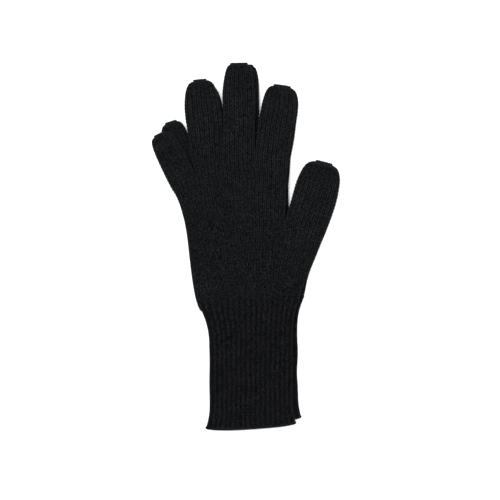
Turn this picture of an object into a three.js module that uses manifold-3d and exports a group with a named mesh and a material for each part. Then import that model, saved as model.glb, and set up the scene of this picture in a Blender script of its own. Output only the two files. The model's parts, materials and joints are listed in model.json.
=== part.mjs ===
// A pair of knitted touchscreen gloves lying flat, one on the other, fingertips to +Y.
// The left-hand glove lies underneath with its palm down, the right-hand glove on top with its
// palm up, so both thumbs point to +X and each palm faces away from the other glove.
// Each glove is a flat knitted tube: a hand, five fingers, touch tips of conductive yarn on the
// thumb, index and middle fingers, a seam that closes each fingertip, a ribbed cuff and its hem.
// Millimetres, +Z up. Each glove is laid out from the middle of its wrist line.

import * as THREE from 'three';
import { mergeVertices } from 'three/addons/utils/BufferGeometryUtils.js';
import Module from 'manifold-3d';

// ---- Driving dimensions ----

const gloveThickness = 8.4;   // one glove lying flat: two layers of knitting and the air between
const fabric = 1.7;           // knitted wall of the hand and the fingers
const ribFabric = 2;          // thicker ribbed wall of the cuff
const foldRound = 3.8;        // radius of the folded sides, where the thickness leaves room for it
const leastFlat = 0.4;        // flat left between the rounds above and below the middle
const gap = 0.3;              // between pieces that touch
const stackGap = 0.3;         // between the two gloves

const palmLength = 121;       // wrist line to the root of the middle finger
const palmWidth = 97;         // across the hand, half-way up the thumb side
const heelWidth = 84;         // hand where it is gathered into the rib
const heelOffset = -2.6;      // the heel's middle, off the cuff's middle
const indexEdge = 26.6;       // edge of the hand between the thumb and the index finger
const wristTilt = 6.5;        // degrees that the wrist line rises towards the thumb

const cuffLength = 97;
const cuffWidth = 66.4;
const cuffWristWidth = 78;    // the rib where it is joined to the hand
const cuffEase = 26;          // length over which the rib narrows below the wrist
const hemWidth = 71;
const hemTilt = 3.6;          // degrees that the hem rises towards the thumb
const hemFlare = 18;          // length over which the rib widens to the hem
const hemHeight = 6;

const fingerGap = 0.7;        // between neighbouring fingers at their roots
const knuckleLeft = -47.8;    // little-finger side of the ring finger's root
const littleDrop = 23.2;      // the little finger starts this far below the middle finger
const littleInset = -52.9;    // middle of the little finger's root
const thumbHeight = 62.4;     // middle of the thumb's root above the wrist line
const thumbReach = 42.6;      // and to the side of it
const touchLength = 21;       // conductive yarn on the touch fingers
const seamThickness = 2.2;    // closing seam across the flat of a fingertip


// Each finger: width at its root, how far its sides swell, its length from the root to the
// closing seam, the flat of its tip, and how far its root lies above the middle finger's.
const fingers = {
  little: { width: 21.6, belly: 0.9, length: 43.5, tipFlat: 9, rise: -littleDrop, touch: false },
  ring: { width: 25, belly: 1.7, length: 57, tipFlat: 10, rise: 1.5, touch: false },
  middle: { width: 24.8, belly: 0.8, length: 71.5, tipFlat: 12, rise: 0, touch: true },
  index: { width: 26, belly: 1.7, length: 58.5, tipFlat: 11, rise: -4, touch: true },
  thumb: { width: 31.4, belly: 1.8, length: 52.5, tipFlat: 13, rise: 0, touch: true },
};

// How each glove lies: its place, its turn in degrees, the degrees that each finger leans towards
// the thumb, and the length that it loses in soft folds, or gains where it is pulled straight.
const lays = {
  left: {
    onTop: false,
    shift: [3.8, 3.2],
    turn: 0.6,
    lean: { little: -16.5, ring: -6.6, middle: 2.3, index: 8, thumb: 15.5 },
    slack: { little: -5, ring: 5, middle: 3.5, index: 3, thumb: 3 },
  },
  right: {
    onTop: true,
    shift: [0, 0],
    turn: 0,
    lean: { little: -27, ring: -5.2, middle: 0, index: 7.5, thumb: 18 },
    slack: { little: 0, ring: 0, middle: 0, index: 0, thumb: 0 },
  },
};

// ---- How fine the curves are, and how far solids run into each other before they are cut ----

const outlineSegments = 6;
const foldSegments = 2;
const seamSegments = 8;
const root = 8;               // a finger's solid starts this far inside the hand
const overlap = 14;           // hand and cuff run this far past a line before they are cut at it
const far = 400;              // half size of a cutting block

const foldRadius = Math.min(foldRound, gloveThickness / 2 - leastFlat);

// ---- Solids ----

const wasm = await Module();
wasm.setup();

function solidOf(geometry) {
  geometry.deleteAttribute('normal');
  geometry.deleteAttribute('uv');
  const merged = mergeVertices(geometry, 1e-4);
  return new wasm.Manifold(new wasm.Mesh({
    numProp: 3,
    vertProperties: new Float32Array(merged.attributes.position.array),
    triVerts: new Uint32Array(merged.index.array),
  }));
}

function geometryOf(solid) {
  const mesh = solid.getMesh();
  const geometry = new THREE.BufferGeometry();
  geometry.setAttribute('position', new THREE.BufferAttribute(mesh.vertProperties, 3));
  geometry.setIndex(new THREE.BufferAttribute(mesh.triVerts, 1));
  geometry.computeVertexNormals();
  return geometry;
}

// A flat pillow of an outline with round folded sides. An inset of the wall gives the hollow
// inside it, and a negative inset the room that a neighbour leaves around it.
function pillow(outline, inset = 0, at = new THREE.Matrix4()) {
  const radius = foldRadius - inset;
  const thickness = gloveThickness - 2 * inset;
  const geometry = new THREE.ExtrudeGeometry(outline, {
    depth: thickness - 2 * radius,
    bevelThickness: radius,
    bevelSize: radius,
    bevelOffset: -radius - inset,
    bevelSegments: foldSegments,
    curveSegments: outlineSegments,
  });
  geometry.translate(0, 0, radius - thickness / 2);
  return solidOf(geometry.applyMatrix4(at));
}

// A cutting block over the whole thickness, from x0 to x1 and y0 to y1 in the frame `at`.
function block(x0, x1, y0, y1, at = new THREE.Matrix4()) {
  const geometry = new THREE.BoxGeometry(x1 - x0, y1 - y0, 2 * gloveThickness);
  geometry.translate((x0 + x1) / 2, (y0 + y1) / 2, 0);
  return solidOf(geometry.applyMatrix4(at));
}

function frameAt(x, y, degrees) {
  const matrix = new THREE.Matrix4().makeRotationZ(THREE.MathUtils.degToRad(degrees));
  return matrix.setPosition(x, y, 0);
}

// ---- Outlines ----

// A finger in its own frame: y runs from its root to its tip.
function fingerOutline({ width, belly, tipFlat }, length) {
  const half = width / 2;
  const flat = tipFlat / 2;
  const shape = new THREE.Shape();
  shape.moveTo(-half, -root);
  shape.lineTo(half, -root);
  shape.lineTo(half, 0);
  shape.bezierCurveTo(half + 2 * belly, 0.7 * length, half + belly, length, flat, length);
  shape.lineTo(-flat, length);
  shape.bezierCurveTo(-half - belly, length, -half - 2 * belly, 0.7 * length, -half, 0);
  return shape;
}

// Where each finger's root lies in the glove. The ring, middle and index fingers stand side by
// side along the knuckles; the little finger and the thumb have places of their own.
function fingerRoots(lean) {
  const roots = {};
  let edge = knuckleLeft;
  for (const name of ['ring', 'middle', 'index']) {
    roots[name] = new THREE.Vector2(edge + fingers[name].width / 2, palmLength + fingers[name].rise);
    edge += fingers[name].width + fingerGap;
  }
  roots.little = new THREE.Vector2(littleInset, palmLength + fingers.little.rise);
  roots.thumb = new THREE.Vector2(thumbReach, thumbHeight);
  for (const name of Object.keys(roots)) {
    const across = new THREE.Vector2(1, 0).rotateAround(new THREE.Vector2(),
      THREE.MathUtils.degToRad(-lean[name])).multiplyScalar(fingers[name].width / 2);
    roots[name].littleSide = roots[name].clone().sub(across);
    roots[name].thumbSide = roots[name].clone().add(across);
  }
  return roots;
}

// The hand: up the little-finger side, along the finger roots, and down the thumb side.
function handOutline({ little, ring, middle, index, thumb }) {
  const heel = [heelOffset - heelWidth / 2, heelOffset + heelWidth / 2];
  const side = palmWidth / 2;
  const start = little.littleSide;
  const crotches = [
    ring.thumbSide.clone().lerp(middle.littleSide, 0.5),
    middle.thumbSide.clone().lerp(index.littleSide, 0.5),
  ];
  const shape = new THREE.Shape();
  shape.moveTo(heel[0] + 3, -overlap);
  shape.lineTo(heel[0], 0);
  shape.bezierCurveTo(-side, start.y * 0.3, -side, start.y * 0.75, start.x, start.y);
  const corners = [little.thumbSide, ring.littleSide, ...crotches, index.thumbSide];
  for (const corner of corners) shape.lineTo(corner.x, corner.y);
  const webY = (index.thumbSide.y + thumb.littleSide.y) / 2;
  shape.quadraticCurveTo(indexEdge, webY, thumb.littleSide.x, thumb.littleSide.y);
  shape.lineTo(thumb.thumbSide.x, thumb.thumbSide.y);
  shape.bezierCurveTo(side + 5, thumb.thumbSide.y * 0.75, side - 8, thumb.thumbSide.y * 0.35,
    heel[1], 0);
  shape.lineTo(heel[1] - 3, -overlap);
  return shape;
}

function cuffOutline() {
  const half = cuffWidth / 2;
  const wrist = cuffWristWidth / 2;
  const hem = hemWidth / 2;
  const end = -cuffLength;
  const shape = new THREE.Shape();
  shape.moveTo(-hem, end - overlap);
  shape.lineTo(hem, end - overlap);
  shape.lineTo(hem, end);
  shape.quadraticCurveTo(half, end + hemFlare / 2, half, end + hemFlare);
  shape.lineTo(half, -cuffEase);
  shape.quadraticCurveTo(half, -cuffEase / 2, wrist, 0);
  shape.lineTo(wrist, overlap);
  shape.lineTo(-wrist, overlap);
  shape.lineTo(-wrist, 0);
  shape.quadraticCurveTo(-half, -cuffEase / 2, -half, -cuffEase);
  shape.lineTo(-half, end + hemFlare);
  shape.quadraticCurveTo(-half, end + hemFlare / 2, -hem, end);
  return shape;
}

// ---- Materials ----

const yarn = (color, roughness) => () =>
  new THREE.MeshStandardMaterial({ color, roughness, metalness: 0 });
const knitYarn = yarn(0x1b1c20, 0.92);
const conductiveYarn = yarn(0x1e2024, 0.84);
const ribYarn = yarn(0x17181b, 0.94);
const seamYarn = yarn(0x141518, 0.9);

// ---- Sub-parts ----

function piece(name, solid, material) {
  const mesh = new THREE.Mesh(geometryOf(solid), material());
  mesh.name = name;
  return mesh;
}

// One finger in its own group: the tube, the touch tip if it has one, and the closing seam.
function makeFinger(hand, name, lay, at) {
  const finger = fingers[name];
  const length = finger.length - lay.slack[name];
  const outline = fingerOutline(finger, length);
  const shell = pillow(outline).subtract(pillow(outline, fabric));
  const tubeEnd = finger.touch ? length - touchLength - gap / 2 : far;
  const tube = shell.intersect(block(-far, far, gap / 2, tubeEnd));

  const group = new THREE.Group();
  group.position.set(at.x, at.y, 0);
  group.rotation.z = THREE.MathUtils.degToRad(-lay.lean[name]);
  const fullName = name === 'thumb' ? `${hand}_thumb` : `${hand}_${name}_finger`;
  group.add(piece(fullName, tube, knitYarn));
  if (finger.touch) {
    const tip = shell.intersect(block(-far, far, length - touchLength + gap / 2, far));
    group.add(piece(`${hand}_${name}_touch_tip`, tip, conductiveYarn));
  }

  const seamRadius = seamThickness / 2;
  const seam = new THREE.Mesh(
    new THREE.CapsuleGeometry(seamRadius, finger.tipFlat - seamThickness, 2, seamSegments),
    seamYarn());
  seam.name = `${hand}_${name}_tip_seam`;
  seam.rotation.z = Math.PI / 2;
  seam.position.y = length + gap + seamRadius;
  group.add(seam);
  return group;
}

function makeHand(hand, lay, roots, wristLine) {
  const outline = handOutline(roots);
  let solid = pillow(outline).subtract(block(-far, far, -far, gap / 2, wristLine));
  let inside = pillow(outline, fabric);
  for (const [name, at] of Object.entries(roots)) {
    const finger = fingers[name];
    const frame = frameAt(at.x, at.y, -lay.lean[name]);
    const half = (finger.width + fingerGap) / 2;
    const fingerShape = fingerOutline(finger, finger.length - lay.slack[name]);
    const beyondRoot = block(-far, far, -gap / 2, far, frame);
    solid = solid
      .subtract(block(-half, half, -gap / 2, far, frame))
      .subtract(pillow(fingerShape, -gap, frame).intersect(beyondRoot))
      .add(pillow(fingerShape, 0, frame).subtract(beyondRoot));
    inside = inside.add(pillow(fingerShape, fabric, frame));
  }
  return piece(`${hand}_hand`, solid.subtract(inside), knitYarn);
}

function makeCuff(hand, wristLine, hemLine) {
  const outline = cuffOutline();
  const shell = pillow(outline)
    .subtract(pillow(outline, ribFabric))
    .subtract(block(-far, far, -gap / 2, far, wristLine))
    .subtract(block(-far, far, -far, 0, hemLine));
  const rib = shell.subtract(block(-far, far, -far, hemHeight + gap / 2, hemLine));
  const hem = shell.intersect(block(-far, far, -far, hemHeight - gap / 2, hemLine));
  return [piece(`${hand}_cuff`, rib, ribYarn), piece(`${hand}_cuff_hem`, hem, ribYarn)];
}

function makeGlove(hand, lay) {
  const glove = new THREE.Group();
  const level = gloveThickness / 2 + (lay.onTop ? gloveThickness + stackGap : 0);
  glove.position.set(...lay.shift, level);
  glove.rotation.z = THREE.MathUtils.degToRad(lay.turn);
  const wristLine = frameAt(0, 0, wristTilt);
  const hemLine = frameAt(0, -cuffLength, hemTilt);
  const roots = fingerRoots(lay.lean);
  glove.add(makeHand(hand, lay, roots, wristLine), ...makeCuff(hand, wristLine, hemLine));
  for (const [name, at] of Object.entries(roots)) glove.add(makeFinger(hand, name, lay, at));
  return glove;
}

// ---- The pair, with its origin under the middle of its box ----

const gloves = new THREE.Group();
for (const [hand, lay] of Object.entries(lays)) gloves.add(makeGlove(hand, lay));

const box = new THREE.Box3().setFromObject(gloves, true);
const middle = box.getCenter(new THREE.Vector3());
gloves.position.set(-middle.x, -middle.y, -box.min.z);

export default gloves;
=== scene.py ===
"""A pair of black knitted touchscreen gloves, stacked flat: the knitting, seams, ribbing and light.

Each glove's hand and fingers are one welded skin of knitted stitches, built lane by lane (one lane
of wales for each finger, from the wrist to its tip) and then split into its pieces at the finger
roots and the touch tips. The ribbed cuff is a tube with an inside, an outside and a hem.
Lengths are millimetres in the glove's own frame, which starts at the middle of the wrist, and
metres in the pair's frame, which is the fixed frame of the CAD model. A wale is a column of
stitches and a course is a row of them.
"""

import json
import math

import bpy
import numpy as np
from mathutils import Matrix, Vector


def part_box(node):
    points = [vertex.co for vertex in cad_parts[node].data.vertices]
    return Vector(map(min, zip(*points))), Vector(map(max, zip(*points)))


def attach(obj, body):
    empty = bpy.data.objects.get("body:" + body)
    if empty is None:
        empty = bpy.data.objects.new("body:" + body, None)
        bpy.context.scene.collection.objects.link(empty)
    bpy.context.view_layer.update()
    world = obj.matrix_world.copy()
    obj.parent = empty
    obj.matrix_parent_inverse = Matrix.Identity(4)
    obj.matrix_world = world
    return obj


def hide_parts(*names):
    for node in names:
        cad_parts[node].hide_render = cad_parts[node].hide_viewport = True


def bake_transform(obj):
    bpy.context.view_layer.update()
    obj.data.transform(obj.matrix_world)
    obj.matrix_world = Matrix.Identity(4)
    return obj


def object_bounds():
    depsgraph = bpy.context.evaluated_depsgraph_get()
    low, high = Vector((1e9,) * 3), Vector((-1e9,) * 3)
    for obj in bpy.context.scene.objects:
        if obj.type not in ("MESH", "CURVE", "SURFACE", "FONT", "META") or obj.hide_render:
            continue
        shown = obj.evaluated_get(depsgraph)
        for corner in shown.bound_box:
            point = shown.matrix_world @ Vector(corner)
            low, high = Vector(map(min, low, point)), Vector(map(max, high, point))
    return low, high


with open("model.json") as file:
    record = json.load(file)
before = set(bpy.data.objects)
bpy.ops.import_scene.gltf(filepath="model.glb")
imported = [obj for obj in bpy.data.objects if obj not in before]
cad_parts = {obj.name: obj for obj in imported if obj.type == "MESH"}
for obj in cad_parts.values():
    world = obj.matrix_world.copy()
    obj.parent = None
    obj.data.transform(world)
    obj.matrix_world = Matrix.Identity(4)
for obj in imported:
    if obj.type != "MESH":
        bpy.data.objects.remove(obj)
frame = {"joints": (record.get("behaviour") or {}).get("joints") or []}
cad_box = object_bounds()

MM = 0.001

# ---- The knitting ----

COURSE = 2.8              # height of a stitch in the hand
WALE_STEPS = 6            # mesh steps across a stitch
COURSE_STEPS = 5          # mesh steps up a stitch
RELIEF = 0.6              # how far a yarn stands out of the fabric
RELIEF_SUNK = 0.3         # share of a stitch's height that lies inside the fabric
HALF_THICKNESS = 3.45     # of a glove's hand and fingers, without the relief
ROUNDNESS = 2.4           # of a folded edge: 2 is an arc, and more is flatter above
FOLD_REACH = 9.0          # how far in from a folded side the fabric is still rounding
TIP_REACH = 6.5           # and how far down from a fingertip
GROOVE = 19.0             # length over which the groove between two fingers fades into the hand
WEAR_AND_SHEEN_BELOW = 0.8          # the folded sides get lighter rubbed fluff and painted sheen below this share of the full height
LIE = 1.3                 # how far the pair rises and falls where it lies, both gloves alike
LIE_SCALE = 70.0          # and the length of its waves
WRIST_TILT = math.radians(6.5)
HEM_TILT = math.radians(3.6)

# For each finger: stitches across one side of it, stitches from the wrist to its root, its width at
# the root, how far its sides swell, and the flat of its tip.
LANES = ("little", "ring", "middle", "index", "thumb")
WALES = {"little": 7, "ring": 8, "middle": 8, "index": 8, "thumb": 10}
TOTAL_WALES = sum(WALES.values())
HAND_COURSES = {"little": 35, "ring": 44, "middle": 44, "index": 44, "thumb": 24}
WIDTH = {"little": 21.6, "ring": 25.0, "middle": 24.8, "index": 26.0, "thumb": 31.4}
BELLY = {"little": 0.4, "ring": 1.6, "middle": 0.5, "index": 1.1, "thumb": 1.8}
TIP_FLAT = {"little": 9.0, "ring": 10.0, "middle": 13.5, "index": 11.0, "thumb": 13.0}
ROOT_REACH = 9.0          # length over which a finger's sides leave the hand's borders
TOUCH = ("middle", "index", "thumb")
TOUCH_LENGTH = 21.0       # of conductive yarn at the tip of a touch finger
FINGER_BEND = 12.0        # length up from a finger's root to the place that dress() works out for it

# ---- The seams across the fingertips ----

SEAM_STANDS = 1.4         # the CAD seam's middle beyond the end of the finger
SEAM_SUNK = 0.75          # the knitted seam's middle lies this far back from there
SEAM_RADIUS = 1.2
SEAM_MARGIN = 0.6         # the seam's end past the flat of the tip
SEAM_RELIEF = 0.5
LOOP_PITCH = 1.55
LOOP_SLANT = 0.35
LOOP_STEPS = 7            # mesh steps along a loop
SEAM_ROWS = 11            # rows of the mesh half-way round the seam

# ---- The hand ----

PALM_SIDE = 48.5          # half the width of the palm
HEEL = (-40.4, 39.2)      # the hand's two sides where it is gathered into the rib
INDEX_EDGE = 26.6         # edge of the hand between the thumb and the index finger
HEEL_REACH = 5.0          # the hand rounds in to the rib over this length
HEEL_FULLNESS = 0.7       # share of its height that it has at the rib
HEEL_GATHER = 0.95        # and share of its width

# ---- The cuff ----

RIBS = 18                 # ribs on each side of the flat cuff
RIB_STEPS = 10            # mesh steps across a rib
RIB_COURSE = 2.56         # height of a stitch in the cuff
RIB_COURSE_STEPS = 4      # mesh steps up a stitch outside
INSIDE_COURSE_STEPS = 2   # and inside
CUFF_LENGTH = 97.0
CUFF_TUCK = 3.0           # how far the cuff reaches into the hand
CUFF_HALF = 33.2          # half its width at its narrowest
CUFF_WRIST_HALF = 39.0    # and at the wrist
CUFF_EASE = 26.0          # length over which it narrows below the wrist
HEM_HALF = 35.5
HEM_FLARE = 18.0          # length over which the cuff widens to the hem
HEM_HEIGHT = 6.0
HEM_TURN = 0.9            # how far the turned edge stands out past the cuff's length
HEM_BOW = 2.4             # the hem's corners lie this far nearer the wrist than its middle
RIB_FABRIC = 1.9          # thickness of the cuff's wall
RIB_RELIEF = 0.85
RIB_SUNK = 0.45           # share of a rib's height that lies inside the fabric
RIB_HOLLOW = 0.42         # height of the hollows between ribs
RIB_FADE = 5.0            # courses over which the ribs run out into the hand's plain knitting
RIB_SHADE = 0.6            # painted shade on the deeper yarn of the hand's ribbed courses, as a share of its plain knitting's colour
CUFF_HALF_THICKNESS = 3.05
TUCK_TAPER = 0.25         # each side of the tucked rows narrows this much for each mm of height
TUCK_FLATTER = 0.12       # and they lose this share of their height

CURVE_SAMPLES = 60        # points along a curve, before they are spaced evenly
SECTION_SAMPLES = 121     # the same across a row of stitches
FINGER_SAMPLES = 241      # and up a finger

# ---- Camera, light and floor, in metres ----

LENS = 100
CAMERA_PLACE = (0.0032, -0.0032, 1.121)
SKY = 0.95
# Each light: name, place, side of the square, and power in watts. All of them aim at the middle.
LIGHTS = (("key", (-0.2, 0.25, 1.5), 0.7, 24.0), ("fill", (0.5, -0.5, 1.4), 1.0, 8.0))
SKY_TONE = (1, 1, 1, 1)
FLOOR_REACH = 2.5         # from the middle to each side
FLOOR_DROP = 0.0002       # below the CAD model's lowest point
FLOOR_TONE = 0.93


def smooth(t):
    t = np.clip(t, 0.0, 1.0)
    return t * t * (3 - 2 * t)


def mix(a, b, t):
    return a + (b - a) * t


def ripple(x, y, seed, scale):
    """Smooth noise, mostly between -1 and 1: sine waves in directions drawn from the seed."""
    rng = np.random.default_rng(seed)
    total = np.zeros(np.broadcast(x, y).shape)
    for _ in range(7):
        angle, phase = rng.uniform(0, 2 * math.pi, 2)
        wave = 2 * math.pi / (scale * rng.uniform(0.7, 1.8))
        total += np.sin(wave * (x * math.cos(angle) + y * math.sin(angle)) + phase)
    return total / 3.5


def along(points, count):
    """The polyline resampled to count + 1 points at even distances."""
    points = np.asarray(points, float)
    run = np.r_[0, np.cumsum(np.linalg.norm(np.diff(points, axis=0), axis=1))]
    at = np.linspace(0, run[-1], count + 1)
    return np.stack([np.interp(at, run, points[:, i]) for i in range(2)], 1)


def bezier(*controls):
    t = np.linspace(0, 1, CURVE_SAMPLES)[:, None]
    points = [np.asarray(c, float) for c in controls]
    n = len(points) - 1
    return sum(math.comb(n, i) * (1 - t) ** (n - i) * t**i * p for i, p in enumerate(points))


def crown(t):
    """Height of the fabric at a share t of the way in from a folded edge."""
    return np.sqrt(np.clip(1 - (1 - np.clip(t, 0, 1)) ** ROUNDNESS, 0, 1))


def section(width, left, right, steps, height):
    """Places across a row and heights there, at even distances over the fabric. left and right say
    how high the row's two edges stand: 0 at a folded side and 1 where the next lane carries on."""
    x = (1 - np.cos(np.linspace(0, math.pi, SECTION_SAMPLES))) / 2 * width
    z = mix(left, 1, crown(x / FOLD_REACH)) * mix(right, 1, crown((width - x) / FOLD_REACH))
    run = np.r_[0, np.cumsum(np.hypot(np.diff(x), np.diff(z) * height))]
    at = np.interp(np.linspace(0, run[-1], steps + 1), run, x)
    return at / width, np.interp(at, x, z)


def legs(x, t, length, foot, slant, half):
    """Height of a stitch's two legs, 0 to 1, at x from its middle and a share t of the way up it.
    A leg is longer than a stitch, so that it ends over the foot of the next one."""
    height = np.zeros(np.broadcast(x, t).shape)
    for start in (-1, 0):
        s = (t - start) / length
        leg = foot + slant * s
        across = np.clip(1 - ((x - leg) / half) ** 2, 0, 1)
        height = np.maximum(height, np.sqrt(across) * np.sin(math.pi * np.clip(s, 0, 1)) ** 0.6)
    return height


def stitches(wale, course):
    """Height of plain knitting, 0 to 1: every stitch is a V of two legs that overlap the next."""
    x = np.abs(wale - np.floor(wale) - 0.5)
    t = course - np.floor(course)
    return legs(x, t, length=1.45, foot=0.07, slant=0.30, half=0.17)


def ribbing(rib, course):
    """Height of one by one rib, 0 to 1: columns of stitches that stand out, with hollows between."""
    x = np.abs(rib - np.floor(rib) - 0.5)
    t = course + 0.5 * (np.floor(rib) % 2)
    height = legs(x, t - np.floor(t), length=1.4, foot=0.05, slant=0.17, half=0.15)
    column = np.exp(-((x / 0.27) ** 4))
    return mix(RIB_HOLLOW, 1, column * mix(0.35, 1.0, height))


# ---- Meshes ----


def add_object(name, data):
    made = bpy.data.objects.new(name, data)
    bpy.context.scene.collection.objects.link(made)
    return made


def mesh_object(name, part):
    """A smooth mesh from a part of a skin, with its knit coordinates, bake map and attributes."""
    mesh = bpy.data.meshes.new(name)
    mesh.from_pydata(part["points"] * MM, [], part["quads"])
    mesh.shade_smooth()
    for layer_name in ("knit", "OFBake"):
        layer = mesh.uv_layers.new(name=layer_name)
        layer.uv.foreach_set("vector", part[layer_name].astype(np.float32).ravel())
    # The first attribute paints shade into the hollows of the knitting, and the second paints rubbed
    # fluff and sheen onto its folded edges.
    for attribute_name in ("height", "wear_and_sheen"):
        attribute = mesh.attributes.new(attribute_name, "FLOAT", "POINT")
        attribute.data.foreach_set("value", part[attribute_name].astype(np.float32))
    mesh.normals_split_custom_set_from_vertices(part["normals"].tolist())
    return add_object(name, mesh)


def vertex_normals(vertices, quads):
    """The mean direction of the quads round each vertex, weighted by their areas."""
    a, b, c, d = (vertices[quads[:, i]] for i in range(4))
    face = np.cross(c - a, d - b)
    total = np.stack([
        np.bincount(quads.ravel(), np.repeat(face[:, i], 4), len(vertices)) for i in range(3)], 1)
    return total / np.maximum(np.linalg.norm(total, axis=1, keepdims=True), 1e-12)


class Skin:
    """Grids of vertices that are welded where they meet, given their relief, and split in parts."""

    def __init__(self):
        self.grids = []
        self.count = 0

    def add(self, points, relief, height, wear_and_sheen, knit, bake, flip, parts):
        """A grid of points, row after row. relief is in mm, and parts numbers each row of quads."""
        rows, columns = points.shape[:2]
        corner = self.count + np.arange(rows - 1)[:, None] * columns + np.arange(columns - 1)
        quads = np.stack([corner, corner + 1, corner + columns + 1, corner + columns], -1)
        quads = quads.reshape(-1, 4)
        shape = (rows, columns)
        self.grids.append((
            points.reshape(-1, 3),
            np.stack([np.broadcast_to(a, shape).ravel() for a in (relief, height, wear_and_sheen)], 1),
            np.concatenate([knit.reshape(-1, 2), bake.reshape(-1, 2)], 1),
            quads[:, ::-1] if flip else quads,
            np.repeat(parts, columns - 1)))
        self.count += rows * columns

    def pieces(self, place):
        """Each part by its number. place turns the glove's frame into the pair's frame."""
        points, values, uvs, quads, parts = (np.concatenate(a) for a in zip(*self.grids))
        _, first, weld = np.unique(
            np.round(points * 1e4).astype(np.int64), axis=0, return_index=True,
            return_inverse=True)
        weld = weld.ravel()
        shared = np.bincount(weld)
        values = np.stack([np.bincount(weld, values[:, i]) / shared for i in range(3)], 1)
        joined = weld[quads]
        points = points[first]
        points = place(points + vertex_normals(points, joined) * values[:, :1])
        normals = vertex_normals(points, joined)
        found = {}
        for part in np.unique(parts):
            mine = parts == part
            used, local = np.unique(joined[mine], return_inverse=True)
            corners = uvs[quads[mine].ravel()]
            found[int(part)] = {
                "points": points[used], "normals": normals[used],
                "quads": local.reshape(-1, 4),
                "knit": corners[:, :2], "OFBake": bake_map(corners[:, 2:]),
                "height": values[used, 1], "wear_and_sheen": values[used, 2]}
        return found


def bake_map(corners):
    """A part's own bake map. Its two sheets come in on either side of u = 0.5, and each is spread
    to fill its half of the map."""
    bake = np.empty(corners.shape)
    for sheet in (0, 1):
        here = (corners[:, 0] > 0.5) == sheet
        low, high = corners[here].min(0), corners[here].max(0)
        share = (corners[here] - low) / (high - low)
        bake[here] = share * (0.485, 0.99) + (0.005 + 0.505 * sheet, 0.005)
    return bake


# ---- A glove's frame and outline, worked out from the joints and boxes of the fixed frame ----


class Glove:
    """Where one glove lies in the pair's frame, and which way its palm and its fingers point."""

    def __init__(self, hand):
        self.hand = hand
        self.joints = {j["name"]: j for j in frame["joints"]}
        wrist = self.joints[f"{hand}_wrist_bend"]
        low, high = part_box(f"{hand}_hand")
        self.middle_z = (low.z + high.z) / 2 / MM
        self.palm = 1 if abs(wrist["pos_m"][2] - high.z) < abs(wrist["pos_m"][2] - low.z) else -1
        self.origin = np.array(wrist["pos_m"][:2]) / MM
        across = -self.palm * np.array(wrist["axis"][:2])
        self.turn = math.atan2(across[1], across[0]) - WRIST_TILT
        self.seed = 11 if hand == "right" else 29
        self.fingers = {name: self.finger(name) for name in LANES}

    def local(self, x, y):
        """A place in the pair's frame as a place in the glove's frame."""
        dx, dy = x / MM - self.origin[0], y / MM - self.origin[1]
        c, s = math.cos(self.turn), math.sin(self.turn)
        return np.array([dx * c + dy * s, dy * c - dx * s])

    def place(self, points):
        """Points of the glove's frame, with z from its middle plane, in the pair's frame, in mm."""
        c, s = math.cos(self.turn), math.sin(self.turn)
        x = points[:, 0] * c - points[:, 1] * s + self.origin[0]
        y = points[:, 0] * s + points[:, 1] * c + self.origin[1]
        lie = LIE * (1 + ripple(x, y, 5, LIE_SCALE)) / 2
        return np.stack([x, y, points[:, 2] + self.middle_z + lie], 1)

    def body(self, name):
        """The body, and CAD node, of a finger's tube."""
        return f"{self.hand}_thumb" if name == "thumb" else f"{self.hand}_{name}_finger"

    def finger(self, name):
        """A finger's root, the directions across it and along it, and its length."""
        joint = self.joints[f"{self.body(name)}_bend"]
        root = self.local(*joint["pos_m"][:2])
        world = self.palm * np.array(joint["axis"][:2])
        c, s = math.cos(self.turn), math.sin(self.turn)
        across = np.array([world[0] * c + world[1] * s, world[1] * c - world[0] * s])
        up = np.array([-across[1], across[0]])
        low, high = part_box(f"{self.hand}_{name}_tip_seam")
        seam = self.local((low.x + high.x) / 2, (low.y + high.y) / 2)
        return {"root": root, "across": across, "up": up, "seam": seam,
                "length": float((seam - root) @ up) - SEAM_STANDS, "half": WIDTH[name] / 2}


def lane_borders(glove):
    """The left and right border of every lane, from the wrist line to the finger's root."""
    f = glove.fingers
    left = {n: f[n]["root"] - f[n]["across"] * f[n]["half"] for n in LANES}
    right = {n: f[n]["root"] + f[n]["across"] * f[n]["half"] for n in LANES}
    ring_middle = (right["ring"] + left["middle"]) / 2
    middle_index = (right["middle"] + left["index"]) / 2
    share = np.r_[0, np.cumsum([WALES[n] for n in LANES])] / TOTAL_WALES
    wrist_x = mix(HEEL[0], HEEL[1], share)
    wrist = np.stack([wrist_x, wrist_x * math.tan(WRIST_TILT)], 1)
    steps = {n: HAND_COURSES[n] * COURSE_STEPS for n in LANES}

    def line(j, to):
        rise = to[1] - wrist[j][1]
        return bezier(wrist[j], wrist[j] + (0, rise * 0.35), to - (0, rise * 0.3), to)

    start, end = left["little"], right["thumb"]
    outer_left = bezier(wrist[0], (-1 - PALM_SIDE, 9), (1.5 - PALM_SIDE, start[1] * 0.8), start)
    outer_right = bezier(wrist[5], (PALM_SIDE - 8, end[1] * 0.35),
                         (PALM_SIDE + 5, end[1] * 0.75), end)
    little_ring = along(line(1, right["little"]), steps["little"])
    index_thumb = along(line(4, left["thumb"]), steps["thumb"])
    ring_side = along([right["little"], left["ring"]], steps["ring"] - steps["little"])
    web = bezier(left["thumb"], (INDEX_EDGE, (left["thumb"][1] + right["index"][1]) / 2),
                 right["index"])
    index_side = along(web, steps["index"] - steps["thumb"])
    shared = {
        "ring_middle": along(line(2, ring_middle), steps["ring"]),
        "middle_index": along(line(3, middle_index), steps["middle"]),
    }
    borders = {
        "little": (along(outer_left, steps["little"]), little_ring),
        "ring": (np.r_[little_ring, ring_side[1:]], shared["ring_middle"]),
        "middle": (shared["ring_middle"], shared["middle_index"]),
        "index": (shared["middle_index"], np.r_[index_thumb, index_side[1:]]),
        "thumb": (index_thumb, along(outer_right, steps["thumb"])),
    }
    return borders, steps


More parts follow.
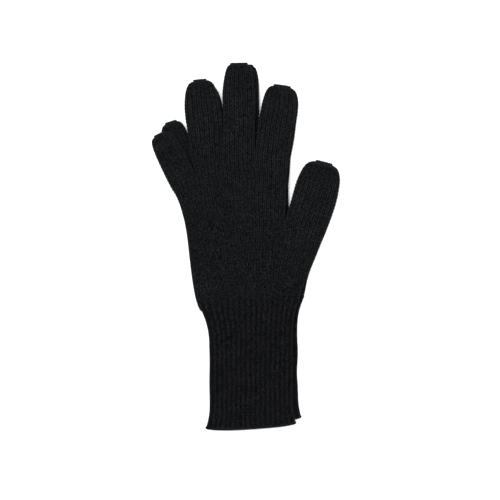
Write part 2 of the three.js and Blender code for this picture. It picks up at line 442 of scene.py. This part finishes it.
def groove(border, crotch):
    """How high the fabric stands along a border: full in the hand, and nothing from row crotch on."""
    run = np.r_[0, np.cumsum(np.linalg.norm(np.diff(border, axis=0), axis=1))]
    below = run[crotch] - run
    return np.where(below > 0, smooth(below / GROOVE) ** 0.7, 0.0)


def lane_edges(borders, steps):
    """The heights that go with the borders, for every lane's left and right side."""
    crotches = [None, steps["little"], steps["ring"], steps["middle"], steps["thumb"], None]
    return {
        name: [
            np.zeros(len(border)) if crotch is None else groove(border, crotch)
            for border, crotch in zip(borders[name], crotches[number:number + 2])]
        for number, name in enumerate(LANES)}


def finger_half(name, length):
    """Rows up a finger at even distances over the fabric, its half width and height at each."""
    flat, half = TIP_FLAT[name] / 2, WIDTH[name] / 2
    side = bezier((half, 0), (half + 2 * BELLY[name], 0.7 * length),
                  (half + BELLY[name], length), (flat, length))
    y = length * (1 - np.cos(np.linspace(0, math.pi, FINGER_SAMPLES))) / 2
    z = HALF_THICKNESS * crown((length - y) / TIP_REACH)
    run = np.r_[0, np.cumsum(np.hypot(np.diff(y), np.diff(z)))]
    courses = round(run[-1] / COURSE)
    up = np.interp(np.linspace(0, run[-1], courses * COURSE_STEPS + 1), run, y)
    up[-1] = length
    return up, np.interp(up, side[:, 1], side[:, 0]), crown((length - up) / TIP_REACH)


def warp(points, seed):
    """Handled fabric never lies quite straight: it drifts slowly in its plane, and it stands a
    little higher here and lower there."""
    x, y = points[..., 0], points[..., 1]
    drift = np.stack([0.45 * ripple(x, y, seed, 34), 0.35 * ripple(x, y, seed + 1, 40)], -1)
    puff = 1 + 0.09 * ripple(x, y, seed + 2, 26) + 0.05 * ripple(x, y, seed + 3, 12)
    return np.concatenate([points[..., :2] + drift, points[..., 2:] * puff[..., None]], -1)


def lane_sides(glove, name, borders):
    """A lane's two sides from the wrist to the fingertip, the share of the full height that each
    row has, and how far up the finger its rows lie."""
    left, right = (np.array(border) for border in borders)
    heel = crown(np.arange(len(left)) * COURSE / COURSE_STEPS / HEEL_REACH)
    left[:, 0] *= mix(HEEL_GATHER, 1, heel)
    right[:, 0] *= mix(HEEL_GATHER, 1, heel)
    f = glove.fingers[name]
    up, half, tip = finger_half(name, f["length"])
    leave = smooth(up / ROOT_REACH)[:, None]
    middle = f["root"] + up[:, None] * f["up"]
    sides = []
    for side, border in ((-1, left), (1, right)):
        own = middle + side * half[:, None] * f["across"]
        finger_side = own + (border[-1] - own[0]) * (1 - leave)
        sides.append(np.r_[border, finger_side[1:]])
    return sides, np.r_[mix(HEEL_FULLNESS, 1, heel), tip[1:]], up


def lane_rows(sides, edges, columns):
    """A lane's vertices in the plane, and their heights as shares of the full height."""
    left, right = sides
    place, rise = np.empty((len(left), columns)), np.empty((len(left), columns))
    for row in range(len(left)):
        width = np.linalg.norm(right[row] - left[row])
        place[row], rise[row] = section(
            width, edges[0][row], edges[1][row], columns - 1, HALF_THICKNESS)
    flat = left[:, None] + (right - left)[:, None] * place[..., None]
    # The sides are set again without rounding, so that neighbouring lanes weld.
    flat[:, 0], flat[:, -1] = left, right
    return flat, rise


def hand_pattern(wale, course, first_wale):
    """Relief of the hand's knitting in mm, and the height from 0 to 1 that paints shade into its
    hollows, with more painted shade on the ribbed courses. The cuff's ribs run out into plain
    stitches over the first courses."""
    plain = smooth(course / RIB_FADE)
    ribs = ribbing((wale + first_wale) * RIBS / TOTAL_WALES, course)
    height = mix(ribs, stitches(wale, course), plain)
    relief = mix(RIB_RELIEF, RELIEF, plain) * (height - mix(RIB_SUNK, RELIEF_SUNK, plain))
    # Painted shade: the ribbed courses are darkened because the yarn there lies deeper.
    return relief, height * mix(RIB_SHADE, 1, plain)


def knitted_skin(glove):
    """The hand and fingers. Part 0 is the hand; a finger's tube and touch tip come after it."""
    borders, steps = lane_borders(glove)
    edges = lane_edges(borders, steps)
    skin = Skin()
    first_wale = 0
    for number, name in enumerate(LANES):
        sides, full, up = lane_sides(glove, name, borders[name])
        columns = WALES[name] * WALE_STEPS + 1
        folded = np.zeros(len(up) - 1)
        flat, rise = lane_rows(sides, [np.r_[edge, folded] for edge in edges[name]], columns)
        rise *= full[:, None]
        wale = np.arange(columns) / WALE_STEPS
        course = np.arange(len(full)) / COURSE_STEPS
        u, v = np.broadcast_arrays(wale, course[:, None])
        relief, height = hand_pattern(u, v, first_wale)
        # Rubbed fluff and painted sheen: lighter where the folded sides turn down.
        wear_and_sheen = np.clip(1 - rise / WEAR_AND_SHEEN_BELOW, 0, 1) ** 2
        hand_rows = len(borders[name][0]) - 1
        parts = np.zeros(len(full) - 1, int)
        parts[hand_rows:] = 1 + 2 * number
        if name in TOUCH:
            length = glove.fingers[name]["length"]
            parts[hand_rows + np.searchsorted(up, length - TOUCH_LENGTH):] = 2 + 2 * number
        knit = np.stack([u + first_wale, v], -1)
        for sheet in (0, 1):
            z = HALF_THICKNESS * rise * (1 - 2 * sheet)
            points = warp(np.concatenate([flat, z[..., None]], -1), glove.seed)
            bake = np.stack([(u + first_wale) / TOTAL_WALES * 0.49 + 0.51 * sheet, v], -1)
            skin.add(points, relief, height, wear_and_sheen, knit, bake, sheet == 1, parts)
        first_wale += WALES[name]
    return skin.pieces(glove.place)


def cuff_half(y):
    """Half the width of the cuff at a height y in the glove's frame."""
    wrist = (CUFF_WRIST_HALF - CUFF_HALF) * np.clip(1 + y / CUFF_EASE, 0, 1) ** 2
    hem = (HEM_HALF - CUFF_HALF) * np.clip(1 - (y + CUFF_LENGTH) / HEM_FLARE, 0, 1) ** 2
    return CUFF_HALF + wrist + hem


def cuff_rows():
    """Rows down the outside, round the turned edge and up the inside of the cuff: their places
    below the wrist, and how far through the wall they lie, from 0 outside to 1 inside."""
    courses = round(CUFF_LENGTH / RIB_COURSE)
    outside = np.linspace(CUFF_TUCK, -CUFF_LENGTH, (courses + 1) * RIB_COURSE_STEPS + 1)
    turned = np.linspace(0, math.pi, 6)[1:-1]
    inside = np.linspace(-CUFF_LENGTH, CUFF_TUCK, courses * INSIDE_COURSE_STEPS + 1)
    y = np.r_[outside, -CUFF_LENGTH - HEM_TURN * np.sin(turned), inside, outside[:1]]
    depth = np.r_[np.zeros(len(outside)), (1 - np.cos(turned)) / 2, np.ones(len(inside)), 0]
    return y, depth


def cuff_points(y, depth):
    """The upper sheet of the cuff, one row of vertices for each y. The tucked rows above the wrist
    are narrower and flatter, so that they stay inside the hand."""
    columns = RIBS * RIB_STEPS + 1
    points = np.empty((len(y), columns, 3))
    share = np.clip(-y / CUFF_LENGTH, 0, 1)
    slope = mix(math.tan(WRIST_TILT), math.tan(HEM_TILT), share)
    for row in range(len(y)):
        half = cuff_half(min(y[row], 0)) - RIB_FABRIC * depth[row] + 0.1
        if y[row] > 0:
            half -= TUCK_TAPER * y[row]
        height = CUFF_HALF_THICKNESS - RIB_FABRIC * depth[row]
        gather = 1 - TUCK_FLATTER * float(smooth((y[row] + 2) / 5))
        place, rise = section(2 * half, 0, 0, columns - 1, height)
        points[row, :, 0] = (2 * place - 1) * half
        points[row, 0, 0], points[row, -1, 0] = -half, half
        corner = np.abs(points[row, :, 0] / HEM_HALF) ** 3
        bow = share[row] ** 4 * (HEM_BOW * corner - 0.3)
        points[row, :, 1] = y[row] + points[row, :, 0] * slope[row] + bow
        points[row, :, 2] = rise * height * gather
    return points


def ribbed_cuff(glove):
    """The cuff is part 0 and its hem is part 1: outside, turned edge and inside in one skin."""
    y, depth = cuff_rows()
    points = cuff_points(y, depth)
    u = np.arange(points.shape[1]) / RIB_STEPS
    course = -y / RIB_COURSE
    pattern = ribbing(u + 0.5 * (depth[:, None] > 0.5), course[:, None])
    # A chain of linked loops runs along the turned edge, which is also the place rubbed most, and it
    # gets lighter fluff and painted sheen.
    chain = np.clip(1 - np.abs(y + CUFF_LENGTH + 0.4) / 1.9, 0, 1)[:, None]
    link = 0.45 + 0.55 * np.abs(np.sin(math.pi * (2 * u + 0.5)))
    height = mix(pattern, link, smooth(chain * 2))
    relief = RIB_RELIEF * mix(1.0, 0.5, depth[:, None]) * (height - RIB_SUNK)
    # Rubbed fluff and painted sheen along the turned edge.
    wear_and_sheen = np.broadcast_to(smooth(chain) * 0.7, height.shape)
    parts = (y[:-1] + y[1:] < 2 * (HEM_HEIGHT - CUFF_LENGTH)).astype(int)
    knit = np.stack(np.broadcast_arrays(u, course[:, None]), -1)
    skin = Skin()
    for sheet in (0, 1):
        side = np.array([1, 1, 1 - 2 * sheet])
        bake = np.stack(np.broadcast_arrays(
            u / RIBS * 0.49 + 0.51 * sheet, np.arange(len(y))[:, None] / len(y)), -1)
        skin.add(warp(points * side, glove.seed), relief, height, wear_and_sheen, knit, bake,
                 sheet == 0, parts)
    return skin.pieces(glove.place)


def tip_seam(glove, name):
    """The short linked seam that closes a fingertip: a bead of slanting loops."""
    f = glove.fingers[name]
    half = TIP_FLAT[name] / 2 + SEAM_MARGIN
    loops = round(2 * half / LOOP_PITCH)
    columns = loops * LOOP_STEPS + 1
    x = np.linspace(-half, half, columns)
    turn = np.linspace(-math.pi / 2, math.pi / 2, SEAM_ROWS)[:, None]
    end = crown((half - np.abs(x)) / (2 * SEAM_RADIUS))
    y = SEAM_RADIUS * np.sin(turn) * mix(0.45, 1, end)
    z = SEAM_RADIUS * np.cos(turn) * end
    z[0] = z[-1] = 0
    share = (x + half) / (2 * half)
    middle = f["seam"] - f["up"] * SEAM_SUNK
    flat = middle + x[None, :, None] * f["across"] + y[..., None] * f["up"]
    skin = Skin()
    for sheet in (0, 1):
        side = 1 - 2 * sheet
        loop = share * loops + LOOP_SLANT * np.sin(turn) * side
        height = np.abs(np.sin(math.pi * loop)) ** 0.7
        # The loops sink where the seam meets the fabric, and the same height paints shade into that
        # crease.
        height = height * np.clip(z / SEAM_RADIUS * 2, 0, 1)
        points = np.concatenate([flat, (z * side)[..., None]], -1)
        knit = np.stack(np.broadcast_arrays(loop, turn / 3), -1)
        bake = np.stack(np.broadcast_arrays(share * 0.49 + 0.51 * sheet, turn), -1)
        # The whole seam gets some rubbed fluff and painted sheen.
        skin.add(warp(points, glove.seed), SEAM_RELIEF * (height - 0.5), height, 0.4, knit, bake,
                 sheet == 1, np.zeros(SEAM_ROWS - 1, int))
    return skin.pieces(glove.place)[0]


# ---- Materials ----

# Painted shade: the near-black colour that the bottoms of the stitches' hollows are darkened to.
PAINTED_HOLLOW_SHADE = (0.0006, 0.0006, 0.0008, 1)


def node(tree, kind, inputs=(), **settings):
    """A shader node with its settings, and with its inputs set to values or linked to outputs."""
    made = tree.nodes.new(kind)
    for key, value in settings.items():
        setattr(made, key, value)
    for key, value in dict(inputs).items():
        if isinstance(value, bpy.types.NodeSocket):
            tree.links.new(value, made.inputs[key])
        else:
            made.inputs[key].default_value = value
    return made


def maths(tree, operation, a, b=0.0, c=0.0):
    return node(tree, "ShaderNodeMath", {0: a, 1: b, 2: c}, operation=operation).outputs[0]


def noise(tree, place, scale, detail, roughness):
    """Mottling from 0 to 1, fixed to the object."""
    return node(tree, "ShaderNodeTexNoise", {
        "Vector": place, "Scale": scale, "Detail": detail, "Roughness": roughness}).outputs["Fac"]


def blended(tree, share, a, b, clamp):
    """The colour a with a share of b. Where the share isn't clamped it may go past b."""
    return node(tree, "ShaderNodeMix", {"Factor": share, "A": a, "B": b},
                data_type="RGBA", clamp_factor=clamp).outputs["Result"]


def yarn(name, colour, light, roughness, twist):
    """Spun yarn: plies that wind along the legs of the stitches, loose fibres, rubbed fluff with a
    painted sheen on the folded edges, and painted shade in the hollows of the stitches.
    """
    material = bpy.data.materials.new(name)
    material.use_nodes = True
    tree = material.node_tree
    tree.nodes.clear()
    place = node(tree, "ShaderNodeTexCoord").outputs["Object"]
    knit = node(tree, "ShaderNodeUVMap", uv_map="knit").outputs["UV"]
    parts = node(tree, "ShaderNodeSeparateXYZ", {"Vector": knit})
    wale, course = parts.outputs["X"], parts.outputs["Y"]
    height = node(tree, "ShaderNodeAttribute", attribute_name="height").outputs["Fac"]
    wear_and_sheen = node(tree, "ShaderNodeAttribute", attribute_name="wear_and_sheen").outputs["Fac"]

    side = maths(tree, "ABSOLUTE", maths(tree, "SUBTRACT", maths(tree, "FRACT", wale), 0.5))
    wound = maths(tree, "MULTIPLY_ADD", side, twist * 2.2, maths(tree, "MULTIPLY", course, twist))
    ply = maths(tree, "SINE", maths(tree, "MULTIPLY", wound, 2 * math.pi))
    fibre = noise(tree, place, scale=1700.0, detail=4.0, roughness=0.65)
    cloud = noise(tree, place, scale=95.0, detail=3.0, roughness=0.6)
    stitch = noise(tree, place, scale=760.0, detail=2.0, roughness=0.7)

    # Painted shade: the lower a place lies in the knitting, the darker it is coloured. The mottling
    # that follows is the yarn's own.
    shade_and_mottle = maths(tree, "MULTIPLY", height, 1.5)
    for mottle, contrast, least in ((cloud, 0.8, 0.6), (stitch, 5.8, -1.9), (fibre, 4.2, -1.1)):
        shade = maths(tree, "MULTIPLY_ADD", mottle, contrast, least)
        shade_and_mottle = maths(tree, "MULTIPLY", shade_and_mottle, shade)
    shade_and_mottle = maths(tree, "MAXIMUM", shade_and_mottle, 0.02)
    hollow_shaded = blended(tree, shade_and_mottle, PAINTED_HOLLOW_SHADE, colour, clamp=False)
    # Painted sheen, with some real rubbed fluff: on the folded edges the colour is lifted towards the
    # lighter colour.
    fluff_and_sheen_share = maths(tree, "MULTIPLY", maths(tree, "MULTIPLY", wear_and_sheen, fibre), 0.45)
    worn_and_sheen = blended(tree, fluff_and_sheen_share, hollow_shaded, light, clamp=True)

    rough = maths(tree, "MULTIPLY_ADD", fibre, 0.25, roughness - 0.12)
    lift = maths(tree, "MULTIPLY_ADD", ply, 0.35, maths(tree, "MULTIPLY", fibre, 0.9))
    bump = node(tree, "ShaderNodeBump", {
        "Strength": 0.75, "Distance": 0.00022, "Height": lift}).outputs["Normal"]
    shader = node(tree, "ShaderNodeBsdfPrincipled", {
        "Base Color": worn_and_sheen, "Roughness": rough, "Normal": bump, "Specular IOR Level": 0.012,
        "Sheen Weight": 0.035, "Sheen Roughness": 0.3, "Sheen Tint": (0.55, 0.58, 0.64, 1)})
    node(tree, "ShaderNodeOutputMaterial", {"Surface": shader.outputs[0]})
    return material


MATERIALS = {
    "hand_knit": yarn(
        "black_hand_knit", colour=(0.0060, 0.0064, 0.0072, 1),
        light=(0.034, 0.036, 0.041, 1), roughness=0.9, twist=2.0),
    "conductive_knit": yarn(
        "conductive_knit", colour=(0.0062, 0.0065, 0.0072, 1),
        light=(0.036, 0.037, 0.041, 1), roughness=0.84, twist=2.6),
    # Painted shade: the cuff is the same black yarn as the hand, but is given darker colours for the
    # shade that falls on it.
    "rib_knit": yarn(
        "black_rib_knit_in_shade", colour=(0.0036, 0.0038, 0.0044, 1),
        light=(0.024, 0.026, 0.030, 1), roughness=0.9, twist=2.0),
    "seam_yarn": yarn(
        "seam_yarn", colour=(0.0062, 0.0066, 0.0074, 1),
        light=(0.032, 0.034, 0.038, 1), roughness=0.88, twist=1.5),
}


# ---- Camera, light and floor ----


def set_camera():
    camera = bpy.data.cameras.new("camera")
    camera.lens = LENS
    viewer = add_object("camera", camera)
    viewer.location = CAMERA_PLACE
    bpy.context.scene.camera = viewer


def set_light():
    world = bpy.data.worlds.new("studio")
    world.use_nodes = True
    background = world.node_tree.nodes["Background"]
    background.inputs["Color"].default_value = SKY_TONE
    background.inputs["Strength"].default_value = SKY
    bpy.context.scene.world = world
    bpy.context.scene.view_settings.view_transform = "Standard"
    for name, place, size, power in LIGHTS:
        light = bpy.data.lights.new(name, "AREA")
        light.size = size
        light.energy = power
        lamp = add_object(name, light)
        lamp.location = place
        aim = -lamp.location
        lamp.rotation_euler = aim.to_track_quat("-Z", "Y").to_euler()


def set_floor():
    mesh = bpy.data.meshes.new("floor")
    corners = [(x * FLOOR_REACH, y * FLOOR_REACH, 0) for x, y in ((-1, -1), (1, -1), (1, 1), (-1, 1))]
    mesh.from_pydata(corners, [], [(0, 1, 2, 3)])
    paper = bpy.data.materials.new("white_paper")
    paper.use_nodes = True
    shader = paper.node_tree.nodes["Principled BSDF"]
    shader.inputs["Base Color"].default_value = (FLOOR_TONE, FLOOR_TONE, FLOOR_TONE, 1)
    shader.inputs["Roughness"].default_value = 0.9
    mesh.materials.append(paper)
    floor = add_object("floor", mesh)
    floor.location.z = cad_box[0][2] - FLOOR_DROP


# ---- The pair ----


def finish_piece(node_name, part, slot):
    """The knitted piece that is shown in a CAD node's place."""
    piece = mesh_object(f"{node_name}_knit", part)
    piece.data.materials.append(MATERIALS[slot])
    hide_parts(node_name)
    return piece


def dress(hand):
    """All the pieces of one glove. The hand, the touch tips, the tip seams and the hem go on the
    bodies that carry them.
    """
    glove = Glove(hand)
    palm = f"{hand}_hand"
    knitted = knitted_skin(glove)
    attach(finish_piece(palm, knitted[0], "hand_knit"), palm)
    for number, name in enumerate(LANES):
        body = glove.body(name)
        f = glove.fingers[name]
        tube = finish_piece(body, knitted[1 + 2 * number], "hand_knit")
        reach = glove.place(np.array([[*(f["root"] + FINGER_BEND * f["up"]), 0]]))[0] * MM
        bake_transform(tube)
        if name in TOUCH:
            tip = finish_piece(f"{hand}_{name}_touch_tip", knitted[2 + 2 * number], "conductive_knit")
            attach(tip, body)
        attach(finish_piece(f"{hand}_{name}_tip_seam", tip_seam(glove, name), "seam_yarn"), body)
    cuff = ribbed_cuff(glove)
    wrist = glove.place(np.array([[0, 0, 0], [math.sin(WRIST_TILT), -math.cos(WRIST_TILT), 0]]))
    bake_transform(finish_piece(f"{hand}_cuff", cuff[0], "rib_knit"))
    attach(finish_piece(f"{hand}_cuff_hem", cuff[1], "rib_knit"), f"{hand}_cuff")


set_camera()
set_light()
set_floor()
for hand in ("left", "right"):
    dress(hand)
